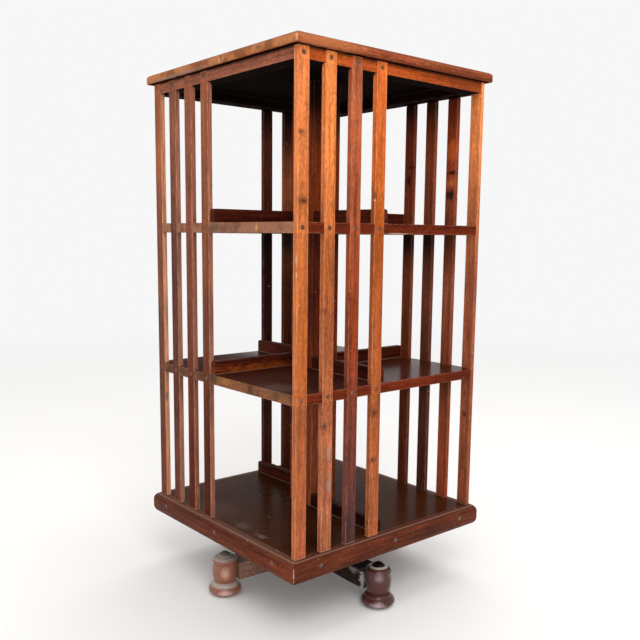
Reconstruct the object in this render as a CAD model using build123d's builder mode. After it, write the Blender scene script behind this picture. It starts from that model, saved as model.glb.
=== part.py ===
import os

from build123d import *

os.makedirs("parts", exist_ok=True)

# Revolving bookcase, in millimetres, +Z up, origin on the floor under the turning axis.
# The case has four alike faces. Face 1 looks along -Y, and each next face is the one
# before it turned by a quarter about the axis.

# Case: overall sizes
case_width = 480.0  # outer face of the slats to the outer face of the slats opposite
overall_height = 1056.5  # floor to the top
floor_gap = 117.0  # floor to the underside of the case
tier_clear = 278.5  # height for books in the bottom and middle tiers; the top tier has the rest

# Boards
shelf_thickness = 19.0
panel_thickness = 24.0
top_thickness = 20.0
top_overhang = 12.5
top_nose_round = 12.0
top_lower_round = 6.0
top_corner_round = 6.0

# Moulded edging round the bottom panel
edging_height = 40.5
edging_thickness = 20.0
edging_overhang = 14.5
edging_nose_round = 10.0
edging_step = 1.2  # ledge between the face and the nose
edging_lower_round = 11.0
edging_corner_round = 7.0
quirk_width = 1.6
quirk_depth = 1.2
nail_head_radius = 3.5
nail_head_depth = 2.5
nail_drop = 16.0  # top of the edging to the middle of a nail
nail_spread_share = 0.4  # outer nails from the middle, as a share of the case's width

# Slats, and the rails that hold their heads
slats_per_face = 4
slat_width = 25.0
slat_thickness = 10.0
slat_round = 1.2
tongue_thickness = 4.0  # head of a slat where it lies in the rail
rail_height = 20.5
rail_width = 32.0
screw_head_radius = 4.5
screw_head_depth = 2.5

# Boxed core, and the fences between the book compartments
core_side = 70.0
core_board_thickness = 12.0
fence_thickness = 12.0
fence_height = 27.0
fence_setback = 4.0  # edge of the shelf to the end of a fence
fence_round = 6.0

# Base of two crossed beams
base_turn = -3.3  # degrees that the base stands turned under the case at rest
foot_circle = 222.0  # turning axis to the axis of a foot
beam_width = 50.0
beam_height = 34.5
beam_end_gap = 20.0  # axis of a foot to the end of its beam
tenon_width = 18.0
tenon_height = 20.0
tenon_depth = 16.0

# Turned foot, from the floor up
sole_radius = 18.0
bun_radius = 33.5
bun_middle = 13.0  # level of the bun's widest round
bun_neck_radius = 28.5
bun_height = 20.0
ring_radius = 27.5
ring_height = 7.0
ring_round = 8.0
drum_foot_radius = 21.0
drum_radius = 25.8
drum_head_radius = 24.0
drum_height = 39.0
cap_radius = 26.0
cap_rise = 7.0  # head of the drum to the cap's widest round
cap_height = 15.5
crown_radius = 15.5
dome_radius = 14.5
dome_height = 8.5
dome_tip_radius = 1.5
dome_round = 24.0

# Spindle and its bearings
spindle_radius = 10.0
journal_radius = 7.0
journal_length = 12.0
flange_radius = 50.0
flange_thickness = 6.0
boss_radius = 22.0
boss_height = 32.0
boss_hollow_radius = 60.0
cup_plate_thickness = 5.0
cup_wall = 6.0
guide_side = 96.0
guide_thickness = 5.0
collar_height = 14.0
collar_wall = 6.0
panel_hole_radius = 14.0

# Iron screws of the flange, the guide plate and the pivot cup
fastener_sides = 8  # small heads, shanks and their holes are drawn with this many sides
iron_screw_radius = 2.5
iron_screw_length = 16.0
iron_head_radius = 4.5
iron_head_height = 2.5
iron_head_margin = 3.0  # head to the edge of its plate
iron_head_taper = 30  # degrees that the sides of a head lean in

# Clearances, and the overrun of cuts
running_clearance = 0.05  # round the spindle, on the radius
end_clearance = 0.3  # over the end of the spindle's journal
joint_clearance = 0.15  # glued joints and sunk heads
core_clearance = 2.0  # pivot cup to the inside of the core
overrun = 5.0

# Half widths and levels that follow from these sizes
case_half = case_width / 2
core_half = core_side / 2
top_half = case_half + top_overhang
edging_outer = case_half + edging_overhang
panel_half = edging_outer - edging_thickness
slat_pitch = (case_half - core_half - slat_width) / (slats_per_face - 1)
slat_starts = [place * slat_pitch - case_half for place in range(slats_per_face)]

panel_top = floor_gap + edging_height
panel_bottom = panel_top - panel_thickness
lower_shelf_bottom = panel_top + tier_clear
lower_shelf_top = lower_shelf_bottom + shelf_thickness
upper_shelf_bottom = lower_shelf_top + tier_clear
upper_shelf_top = upper_shelf_bottom + shelf_thickness
top_underside = overall_height - top_thickness
rail_bottom = top_underside - rail_height
screw_levels = [
    lower_shelf_bottom + shelf_thickness / 2,
    upper_shelf_bottom + shelf_thickness / 2,
    rail_bottom + rail_height / 2,
]

drum_level = bun_height + ring_height
beam_top = drum_level + drum_height
beam_bottom = beam_top - beam_height
beam_middle = beam_bottom + beam_height / 2
crown_level = beam_top + cap_height
foot_height = crown_level + dome_height

flange_top = beam_top + flange_thickness
boss_top = flange_top + boss_height
flange_screw_circle = (boss_radius + flange_radius) / 2
cup_seat = top_underside - cup_plate_thickness
journal_top = cup_seat - end_clearance
journal_level = journal_top - journal_length
cup_side = core_side - 2 * (core_board_thickness + core_clearance)
cup_screw_grid = cup_side - 2 * (iron_head_radius + iron_head_margin / 2)
guide_screw_grid = guide_side - 2 * (iron_head_radius + iron_head_margin)
guide_bottom = panel_bottom - guide_thickness

front = Plane.XZ.offset(case_half)  # outer face of face 1's slats, X along it and Y up
across = Plane(origin=(0, 0, 0), x_dir=(0, 1, 0), z_dir=(1, 0, 0))  # X inwards, Y up


def save(part, name):
    part.label = name
    export_step(part, f"parts/{name}.step")


def save_turned(part, name, faces=range(4), start=0):
    for face in faces:
        save(part.rotate(Axis.Z, start + 90 * face), f"{name}_{face + 1}")


def foot_section(growth):
    """Half section of a turned foot, its radii grown by a clearance."""
    with BuildSketch() as section:
        with BuildLine():
            Polyline((0, foot_height), (0, 0), (sole_radius + growth, 0))
            Spline(
                (sole_radius + growth, 0),
                (bun_radius + growth, bun_middle),
                (bun_neck_radius + growth, bun_height),
            )
            Line((bun_neck_radius + growth, bun_height), (ring_radius + growth, bun_height))
            RadiusArc(
                (ring_radius + growth, bun_height),
                (drum_foot_radius + growth, drum_level),
                -ring_round,
            )
            ThreePointArc(
                (drum_foot_radius + growth, drum_level),
                (drum_radius + growth, drum_level + drum_height / 2),
                (drum_head_radius + growth, beam_top),
            )
            Spline(
                (drum_head_radius + growth, beam_top),
                (cap_radius + growth, beam_top + cap_rise),
                (crown_radius + growth, crown_level),
            )
            Line((crown_radius + growth, crown_level), (dome_radius + growth, crown_level))
            RadiusArc(
                (dome_radius + growth, crown_level),
                (dome_tip_radius, foot_height),
                -dome_round,
            )
            Line((dome_tip_radius, foot_height), (0, foot_height))
        make_face()
    return section.sketch


def slat_notches(corner_depth, inner_depth):
    """Notches for the slats of all four faces, cut out of a sketch of the case's outline."""
    with PolarLocations(0, 4):
        for start in slat_starts:
            depth = corner_depth if start == slat_starts[0] else inner_depth
            with Locations((start, -case_half)):
                Rectangle(slat_width, depth, align=(Align.MIN, Align.MIN), mode=Mode.SUBTRACT)


def screws(plane, places):
    """Screws with their heads on a plate at plane and their shanks running in against its normal."""
    with BuildPart() as group:
        with BuildSketch(plane):
            with places:
                RegularPolygon(iron_head_radius, fastener_sides)
        extrude(amount=iron_head_height, taper=iron_head_taper)
        with BuildSketch(plane):
            with places:
                RegularPolygon(iron_screw_radius, fastener_sides)
        extrude(amount=-iron_screw_length)
    return group.part


# Turned feet, each with a mortise that faces the turning axis

with BuildPart() as foot:
    with BuildSketch(Plane.XZ.shift_origin((foot_circle, 0, 0))):
        add(foot_section(0))
    revolve(axis=Axis((foot_circle, 0, 0), (0, 0, 1)))
    with Locations((foot_circle - drum_radius, 0, beam_middle)):
        Box(
            2 * (tenon_depth + joint_clearance),
            tenon_width + 2 * joint_clearance,
            tenon_height + 2 * joint_clearance,
            mode=Mode.SUBTRACT,
        )
save_turned(foot.part, "foot", start=base_turn)

# Beams of the base, coped round the feet, tenoned into them and half-lapped at the middle

for name, turn, lap_bottom in (
    ("base_beam_long", base_turn, beam_middle),
    ("base_beam_cross", base_turn + 90, beam_bottom - overrun),
):
    with BuildPart() as beam:
        with BuildSketch(Plane.XY.offset(beam_bottom)):
            Rectangle(2 * (foot_circle - beam_end_gap), beam_width)
        extrude(amount=beam_height)
        for end in (-foot_circle, foot_circle):
            with BuildSketch(Plane.XZ.shift_origin((end, 0, 0))):
                add(foot_section(joint_clearance))
            revolve(axis=Axis((end, 0, 0), (0, 0, 1)), mode=Mode.SUBTRACT)
        for end in (drum_radius - foot_circle, foot_circle - drum_radius):
            with Locations((end, 0, beam_middle)):
                Box(2 * tenon_depth, tenon_width, tenon_height)
        with Locations((0, 0, lap_bottom)):
            Box(
                beam_width,
                beam_width + 2 * overrun,
                beam_height / 2 + overrun,
                align=(Align.CENTER, Align.CENTER, Align.MIN),
                mode=Mode.SUBTRACT,
            )
        with BuildSketch(Plane.XY.offset(beam_top)):
            with Locations((-flange_screw_circle, 0), (flange_screw_circle, 0)):
                RegularPolygon(iron_screw_radius + joint_clearance, fastener_sides)
        extrude(amount=-iron_screw_length, mode=Mode.SUBTRACT)
    save(beam.part.rotate(Axis.Z, turn), name)

# Iron spindle with its flange and tapered boss in one forging

with BuildPart() as spindle:
    with BuildSketch(Plane.XZ):
        with BuildLine():
            Polyline(
                (0, beam_top),
                (flange_radius, beam_top),
                (flange_radius, flange_top),
                (boss_radius, flange_top),
            )
            RadiusArc((boss_radius, flange_top), (spindle_radius, boss_top), boss_hollow_radius)
            Polyline(
                (spindle_radius, boss_top),
                (spindle_radius, journal_level),
                (journal_radius, journal_level),
                (journal_radius, journal_top),
                (0, journal_top),
                (0, beam_top),
            )
        make_face()
    revolve(axis=Axis.Z)
    with BuildSketch(Plane.XY.offset(beam_top)):
        with PolarLocations(flange_screw_circle, 4):
            RegularPolygon(iron_screw_radius + joint_clearance, fastener_sides)
    extrude(amount=flange_thickness, mode=Mode.SUBTRACT)
save(spindle.part.rotate(Axis.Z, base_turn), "spindle")

flange_screws = screws(Plane.XY.offset(flange_top), PolarLocations(flange_screw_circle, 4))
save(flange_screws.rotate(Axis.Z, base_turn), "flange_screws")

# Bottom panel, with a hole for the spindle and blind holes for the guide plate's screws

with BuildPart() as bottom_panel:
    with BuildSketch(Plane.XY.offset(panel_bottom)):
        Rectangle(2 * panel_half, 2 * panel_half)
        Circle(panel_hole_radius, mode=Mode.SUBTRACT)
    extrude(amount=panel_thickness)
    with BuildSketch(Plane.XY.offset(panel_bottom)):
        with GridLocations(guide_screw_grid, guide_screw_grid, 2, 2):
            RegularPolygon(iron_screw_radius + joint_clearance, fastener_sides)
    extrude(amount=iron_screw_length - guide_thickness, mode=Mode.SUBTRACT)
save(bottom_panel.part, "bottom_panel")

# Moulded edging, mitred at the corners: a flat, a fine quirk, a rounded nose and a narrow ledge

with BuildPart() as edging:
    with BuildSketch(Plane(origin=(0, 0, 0), x_dir=(0, -1, 0), z_dir=(-1, 0, 0))):
        nose_start = edging_outer - edging_step
        nose_end = nose_start - edging_nose_round
        with BuildLine():
            Polyline(
                (edging_outer, floor_gap + edging_lower_round),
                (edging_outer, panel_top - edging_nose_round),
                (nose_start, panel_top - edging_nose_round),
            )
            RadiusArc(
                (nose_start, panel_top - edging_nose_round),
                (nose_end, panel_top),
                -edging_nose_round,
            )
            Polyline(
                (nose_end, panel_top),
                (nose_end, panel_top - quirk_depth),
                (nose_end - quirk_width, panel_top),
                (panel_half, panel_top),
                (panel_half, floor_gap),
                (edging_outer - edging_lower_round, floor_gap),
            )
            RadiusArc(
                (edging_outer - edging_lower_round, floor_gap),
                (edging_outer, floor_gap + edging_lower_round),
                -edging_lower_round,
            )
        make_face()
    extrude(amount=edging_outer, both=True)
    split(bisect_by=Plane(origin=(0, 0, 0), z_dir=(1, -1, 0)), keep=Keep.TOP)
    split(bisect_by=Plane(origin=(0, 0, 0), z_dir=(-1, -1, 0)), keep=Keep.TOP)
    with BuildSketch(Plane.XY.offset(floor_gap)):
        RectangleRounded(2 * edging_outer, 2 * edging_outer, edging_corner_round)
    extrude(amount=edging_height, mode=Mode.INTERSECT)
    with BuildSketch(Plane.XZ.offset(edging_outer)):
        with Locations((0, panel_top - nail_drop)):
            with GridLocations(nail_spread_share * case_width, 0, 3, 1):
                RegularPolygon(nail_head_radius + joint_clearance, fastener_sides)
    extrude(amount=-nail_head_depth, mode=Mode.SUBTRACT)
save_turned(edging.part, "edging")

with BuildPart() as nail_row:
    with BuildSketch(Plane.XZ.offset(edging_outer)):
        with Locations((0, panel_top - nail_drop)):
            with GridLocations(nail_spread_share * case_width, 0, 3, 1):
                RegularPolygon(nail_head_radius, fastener_sides)
    extrude(amount=-nail_head_depth)
with BuildPart() as edging_nails:
    with PolarLocations(0, 4):
        add(nail_row.part)
save(edging_nails.part, "edging_nails")

# Shelves, notched for the slats and holed for the core

for name, level in (("lower_shelf", lower_shelf_bottom), ("upper_shelf", upper_shelf_bottom)):
    with BuildPart() as shelf:
        with BuildSketch(Plane.XY.offset(level)):
            Rectangle(case_width, case_width)
            Rectangle(core_side, core_side, mode=Mode.SUBTRACT)
            slat_notches(slat_thickness, slat_thickness)
        extrude(amount=shelf_thickness)
    save(shelf.part, name)

# Rails under the top, mitred into a frame, notched for the heads of the slats

with BuildPart() as rail:
    with BuildSketch(Plane.XY.offset(rail_bottom)):
        with BuildLine():
            Polyline(
                (-case_half, -case_half),
                (case_half, -case_half),
                (case_half - rail_width, rail_width - case_half),
                (rail_width - case_half, rail_width - case_half),
                close=True,
            )
        make_face()
        slat_notches(slat_thickness, tongue_thickness)
    extrude(amount=rail_height)
save_turned(rail.part, "rail")

# Slats: the corner slat is plain, the others thin to a tongue over a rounded shoulder

for place, start in enumerate(slat_starts):
    with BuildPart() as slat:
        with BuildSketch(across.offset(start)):
            with BuildLine():
                back = slat_thickness - case_half
                if place == 0:
                    Polyline((back, panel_top), (back, top_underside), (-case_half, top_underside))
                else:
                    shoulder = slat_thickness - tongue_thickness
                    Line((back, panel_top), (back, rail_bottom - shoulder))
                    RadiusArc((back, rail_bottom - shoulder), (back - shoulder, rail_bottom), -shoulder)
                    Polyline(
                        (back - shoulder, rail_bottom),
                        (back - shoulder, top_underside),
                        (-case_half, top_underside),
                    )
                Polyline((-case_half, top_underside), (-case_half, panel_top), (back, panel_top))
            make_face()
        extrude(amount=slat_width)
        fillet(slat.edges().filter_by(Axis.Z).group_by(Axis.Y)[0], slat_round)
        with BuildSketch(front):
            with Locations([(start + slat_width / 2, level) for level in screw_levels]):
                RegularPolygon(screw_head_radius + joint_clearance, fastener_sides)
        extrude(amount=-screw_head_depth, mode=Mode.SUBTRACT)
    for face in range(4):
        save(slat.part.rotate(Axis.Z, 90 * face), f"slat_{face + 1}_{place + 1}")

with BuildPart() as screw_rows:
    with BuildSketch(front):
        for start in slat_starts:
            with Locations([(start + slat_width / 2, level) for level in screw_levels]):
                RegularPolygon(screw_head_radius, fastener_sides)
    extrude(amount=-screw_head_depth)
with BuildPart() as slat_screws:
    with PolarLocations(0, 4):
        add(screw_rows.part)
save(slat_screws.part, "slat_screws")

# Top board with its rounded nose, and blind holes for the pivot cup's screws

with BuildPart() as top_board:
    with BuildSketch(Plane.XY.offset(top_underside)):
        Rectangle(2 * top_half, 2 * top_half)
    extrude(amount=top_thickness)
    fillet(top_board.faces().sort_by(Axis.Z)[-1].edges(), top_nose_round)
    fillet(top_board.faces().sort_by(Axis.Z)[0].edges(), top_lower_round)
    with BuildSketch(Plane.XY.offset(top_underside)):
        RectangleRounded(2 * top_half, 2 * top_half, top_corner_round)
    extrude(amount=top_thickness, mode=Mode.INTERSECT)
    with BuildSketch(Plane.XY.offset(top_underside)):
        with GridLocations(cup_screw_grid, cup_screw_grid, 2, 2):
            RegularPolygon(iron_screw_radius + joint_clearance, fastener_sides)
    extrude(amount=iron_screw_length - cup_plate_thickness, mode=Mode.SUBTRACT)
save(top_board.part, "top_board")

# Boxed core: four boards, each butting against the side of the next

with BuildPart() as core_board:
    with BuildSketch(Plane.XY.offset(panel_top)):
        with Locations((-core_half, -core_half)):
            Rectangle(
                core_side - core_board_thickness,
                core_board_thickness,
                align=(Align.MIN, Align.MIN),
            )
    extrude(amount=top_underside - panel_top)
save_turned(core_board.part, "core_board")

# Fences from the core out to the last slat of each face, with rounded upper corners

for name, level, faces in (
    ("fence_bottom", panel_top, (0, 2)),
    ("fence_lower", lower_shelf_top, range(4)),
    ("fence_upper", upper_shelf_top, range(4)),
):
    with BuildPart() as fence:
        with BuildSketch(across.offset(-core_half)) as fence_side:
            with Locations((-core_half, level)):
                Rectangle(
                    case_half - fence_setback - core_half,
                    fence_height,
                    align=(Align.MAX, Align.MIN),
                )
            fillet(fence_side.vertices().group_by(Axis.Y)[-1], fence_round)
        extrude(amount=fence_thickness)
    save_turned(fence.part, name, faces)

# Guide plate under the bottom panel, with a collar that runs on the spindle

guide_bore = spindle_radius + running_clearance
with BuildPart() as guide_plate:
    with BuildSketch(Plane.XY.offset(guide_bottom)):
        Rectangle(guide_side, guide_side)
        with GridLocations(guide_screw_grid, guide_screw_grid, 2, 2):
            RegularPolygon(
                iron_screw_radius + joint_clearance,
                fastener_sides,
                mode=Mode.SUBTRACT,
            )
    extrude(amount=guide_thickness)
    with BuildSketch(Plane.XY.offset(guide_bottom)):
        Circle(guide_bore + collar_wall)
    extrude(amount=-collar_height)
    with BuildSketch(Plane.XY.offset(panel_bottom)):
        Circle(guide_bore)
    extrude(amount=-guide_thickness - collar_height, mode=Mode.SUBTRACT)
save(guide_plate.part, "guide_plate")

under_guide = Plane(origin=(0, 0, guide_bottom), x_dir=(1, 0, 0), z_dir=(0, 0, -1))
save(screws(under_guide, GridLocations(guide_screw_grid, guide_screw_grid, 2, 2)), "guide_screws")

# Pivot cup under the top: a square plate whose boss sits over the spindle's journal

cup_bore = journal_radius + running_clearance
with BuildPart() as pivot_cup:
    with BuildSketch(Plane.XY.offset(cup_seat)):
        Rectangle(cup_side, cup_side)
        with GridLocations(cup_screw_grid, cup_screw_grid, 2, 2):
            RegularPolygon(
                iron_screw_radius + joint_clearance,
                fastener_sides,
                mode=Mode.SUBTRACT,
            )
    extrude(amount=cup_plate_thickness)
    with BuildSketch(Plane.XY.offset(cup_seat)):
        Circle(cup_bore + cup_wall)
        Circle(cup_bore, mode=Mode.SUBTRACT)
    extrude(amount=-journal_length)
save(pivot_cup.part, "pivot_cup")

under_cup = Plane(origin=(0, 0, cup_seat), x_dir=(1, 0, 0), z_dir=(0, 0, -1))
save(screws(under_cup, GridLocations(cup_screw_grid, cup_screw_grid, 2, 2)), "cup_screws")
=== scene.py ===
import math
import random

import bmesh
import bpy
from mathutils import Matrix, Vector


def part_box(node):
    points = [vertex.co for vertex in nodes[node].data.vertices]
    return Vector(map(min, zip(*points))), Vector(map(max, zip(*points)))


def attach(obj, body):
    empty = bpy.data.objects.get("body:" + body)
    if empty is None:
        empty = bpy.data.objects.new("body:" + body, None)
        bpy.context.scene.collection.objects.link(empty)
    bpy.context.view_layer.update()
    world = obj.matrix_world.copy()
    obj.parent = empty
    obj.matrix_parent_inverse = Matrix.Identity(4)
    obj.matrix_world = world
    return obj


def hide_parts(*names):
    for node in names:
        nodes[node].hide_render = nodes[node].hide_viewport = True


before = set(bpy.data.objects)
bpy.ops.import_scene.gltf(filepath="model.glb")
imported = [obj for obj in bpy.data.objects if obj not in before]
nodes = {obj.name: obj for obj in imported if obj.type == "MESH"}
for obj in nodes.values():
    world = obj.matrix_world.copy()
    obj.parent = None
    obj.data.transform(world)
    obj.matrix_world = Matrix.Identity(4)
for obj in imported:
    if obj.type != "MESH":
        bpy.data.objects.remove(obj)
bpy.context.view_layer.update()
random.seed(7)
print("frame loaded,", len(nodes), "nodes")


def hexColour(text):  # sRGB hex to linear RGBA
    parts = [int(text[i:i + 2], 16) / 255 for i in (0, 2, 4)]
    return [p / 12.92 if p <= 0.04045 else ((p + 0.055) / 1.055) ** 2.4 for p in parts] + [1.0]


# MapRange sockets: 0 value, 1 and 2 from, 3 and 4 to. Colour Mix: 0 factor, 6 and 7 the two colours.
def addNode(tree, kind, inputs=None, out=0, **settings):
    node = tree.nodes.new("ShaderNode" + kind)
    for name, value in settings.items():
        setattr(node, name, value)
    for socket, value in (inputs or {}).items():
        if isinstance(value, bpy.types.NodeSocket):
            tree.links.new(value, node.inputs[socket])
        else:
            node.inputs[socket].default_value = value
    return node if out is None else node.outputs[out]


def newTree(name):
    material = bpy.data.materials.new(name)
    material.use_nodes = True
    material.node_tree.nodes.clear()
    return material, material.node_tree


def dress(node, material):
    nodes[node].data.materials.clear()
    nodes[node].data.materials.append(material)


# Old waxed hardwood. The eye sees soft bands of colour along the boards, fine streaks, short dark pores,
# knots, arrises rubbed pale in broken stretches, pale specks, and a low satin gloss that follows the grain.
# Pattern sizes in mm, across and along the grain. Real pores are about 0.2 mm wide: they are drawn coarser
# to show.
grain = {
    "band": (12, 420),
    "streak": (4.2, 85),
    "fleck": (2.6, 8),
    "pore": (1.7, 6),
    "fibre": (0.8, 34),
    "cloud": (50, 80),
    "waver": (50, 240),
    "rub": (2.6, 15),
    "speck": (13, 13),
}
grainShift = (3.71, 1.93, 5.37)  # how far each step of a seed moves a pattern along X, Y and Z
# what every wood has where its own look says nothing else
plainWood = {
    "sway": 12,  # mm that the grain wavers
    "figure": 0.28,
    "flecks": 0.26,
    "pores": 0.32,
    "poreHex": "8E6250",
    "topShade": (0.88, 1.14),
    "bands": [],
    "knots": [],
    "spots": [],
    "tear": 0.45,  # how ragged the edges of spots are
    "worn": 0.45,
    "wornHex": "C48E70",
    "wornReach": (0.0022, 0.0005),  # m from an arris where rubbing starts and where it is full
    "specks": 0.05,
    "speckHex": "D9BFA8",
    "gloss": (0.42, 0.6),
    "bump": 0.22,
    "shine": 0.14,
}
# shares of a knot's reach: its ragged edge, its heart from rim to full dark, its rings from gone to full
knotLook = {"tear": 0.3, "heart": (0.6, 0.3), "rings": (1.35, 0.6), "beat": 10.0}
caseFoot, caseHead = 0.157, 1.037  # levels in m that the tones run between
bandFade = 0.6  # mm over which a band ends


def grainNoise(tree, source, look, kind, detail=3.0, out=0):
    across, length = grain[kind]
    scale = [1000 / across] * 3
    scale["XYZ".index(look["along"])] = 1000 / length
    shift = [look["seed"] * step for step in grainShift]
    placed = addNode(tree, "Mapping", {"Vector": source, "Scale": scale, "Location": shift})
    settings = {"Vector": placed, "Scale": 1.0, "Detail": detail, "Roughness": 0.58}
    return addNode(tree, "TexNoise", settings, out)


# 1 at the reach from a place, both in mm, with a torn edge
def farFrom(tree, coord, at, reach, ragged, tear):
    away = addNode(tree, "VectorMath", {0: coord, 1: [v / 1000 for v in at]}, operation="SUBTRACT")
    scaled = addNode(tree, "VectorMath", {0: away, 1: [1000 / v for v in reach]}, operation="MULTIPLY")
    far = addNode(tree, "VectorMath", {0: scaled}, "Value", operation="LENGTH")
    torn = addNode(tree, "MapRange", {0: ragged, 1: 0.3, 2: 0.7, 3: -tear, 4: tear})
    return addNode(tree, "Math", {0: far, 1: torn}, operation="ADD")


def paintSpots(tree, coord, colour, ragged, spots, tear):  # stains, scuffs and worn places, and painted highlights, sheen, reflection and shade
    for at, reach, spotHex, strength in spots:
        far = farFrom(tree, coord, at, reach, ragged, tear)
        mask = addNode(tree, "MapRange", {0: far, 1: 1.0, 2: tear, 3: 0.0, 4: strength})
        colour = addNode(tree, "Mix", {0: mask, 6: colour, 7: hexColour(spotHex)}, 2, data_type="RGBA")
    return colour


def paintKnots(tree, coord, colour, ragged, knots):  # a dark heart, and dark rings that fade outwards
    gone, ringFull = knotLook["rings"]
    rim, heartFull = knotLook["heart"]
    for at, reach, knotHex, strength in knots:
        far = farFrom(tree, coord, at, reach, ragged, knotLook["tear"])
        beat = addNode(tree, "Math", {0: far, 1: knotLook["beat"]}, operation="MULTIPLY")
        ring = addNode(tree, "Math", {0: beat}, operation="SINE")
        line = addNode(tree, "MapRange", {0: ring, 1: 0.1, 2: 0.9, 3: 0.0, 4: strength})
        fade = addNode(tree, "MapRange", {0: far, 1: gone, 2: ringFull})
        ringed = addNode(tree, "Math", {0: line, 1: fade}, operation="MULTIPLY")
        heart = addNode(tree, "MapRange", {0: far, 1: rim, 2: heartFull, 3: 0.0, 4: strength})
        mask = addNode(tree, "Math", {0: ringed, 1: heart}, operation="MAXIMUM")
        colour = addNode(tree, "Mix", {0: mask, 6: colour, 7: hexColour(knotHex)}, 2, data_type="RGBA")
    return colour


def paintBands(tree, colour, height, bands):  # levels in mm, soft below and sharp above
    for low, high, soft, bandHex, strength in bands:
        start, full = (low - soft) / 1000, low / 1000
        end, gone = high / 1000, (high + bandFade) / 1000
        rise = addNode(tree, "MapRange", {0: height, 1: start, 2: full, 3: 0.0, 4: strength})
        fall = addNode(tree, "MapRange", {0: height, 1: end, 2: gone, 3: 1.0, 4: 0.0})
        mask = addNode(tree, "Math", {0: rise, 1: fall}, operation="MULTIPLY")
        colour = addNode(tree, "Mix", {0: mask, 6: colour, 7: hexColour(bandHex)}, 2, data_type="RGBA")
    return colour


# end grain, upper and under faces have their own tones; the tone of the under faces is painted shade
def paintFaces(tree, colour, look, facing, cloud, mottle):
    if "endHex" in look:
        plain, pale, dark = (hexColour(look[key]) for key in ("endHex", "endPaleHex", "endDarkHex"))
        endwise = addNode(tree, "Math", {0: facing["XYZ".index(look["along"])]}, operation="ABSOLUTE")
        mask = addNode(tree, "MapRange", {0: endwise, 1: 0.55, 2: 0.8})
        fleck = addNode(tree, "MapRange", {0: mottle, 1: 0.38, 2: 0.66})
        endTone = addNode(tree, "Mix", {0: fleck, 6: plain, 7: pale}, 2, data_type="RGBA")
        patch = addNode(tree, "MapRange", {0: cloud, 1: 0.5, 2: 0.6, 3: 0.0, 4: 0.8})
        endTone = addNode(tree, "Mix", {0: patch, 6: endTone, 7: dark}, 2, data_type="RGBA")
        colour = addNode(tree, "Mix", {0: mask, 6: colour, 7: endTone}, 2, data_type="RGBA")
    if "narrow" in look:  # narrow sides are of another cut of the wood
        axis, sideHex, strength = look["narrow"]
        sidewise = addNode(tree, "Math", {0: facing[axis]}, operation="ABSOLUTE")
        mask = addNode(tree, "MapRange", {0: sidewise, 1: 0.5, 2: 0.9, 3: 0.0, 4: strength})
        shade = addNode(tree, "MapRange", {0: mottle, 1: 0.35, 2: 0.65, 3: 0.6, 4: 1.4})
        tone = addNode(tree, "VectorMath", {0: hexColour(sideHex)[:3], "Scale": shade}, operation="SCALE")
        colour = addNode(tree, "Mix", {0: mask, 6: colour, 7: tone}, 2, data_type="RGBA")
    if "inner" in look:  # faces that look towards the core, painted darker as shade
        axis, innerShadeHex = look["inner"]
        mask = addNode(tree, "MapRange", {0: facing[axis], 1: -0.5, 2: -0.8})
        colour = addNode(tree, "Mix", {0: mask, 6: colour, 7: hexColour(innerShadeHex)}, 2, data_type="RGBA")
    # the under faces get a painted shade tone
    for key, low, high in (("topHex", 0.6, 0.85), ("underShadeHex", -0.7, -0.95)):
        if key in look:
            mask = addNode(tree, "MapRange", {0: facing["Z"], 1: low, 2: high})
            base = hexColour(look[key])[:3]
            darker, lighter = look["topShade"]
            shade = addNode(tree, "MapRange", {0: mottle, 1: 0.35, 2: 0.65, 3: darker, 4: lighter})
            tone = addNode(tree, "VectorMath", {0: base, "Scale": shade}, operation="SCALE")
            colour = addNode(tree, "Mix", {0: mask, 6: colour, 7: tone}, 2, data_type="RGBA")
    return colour


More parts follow.
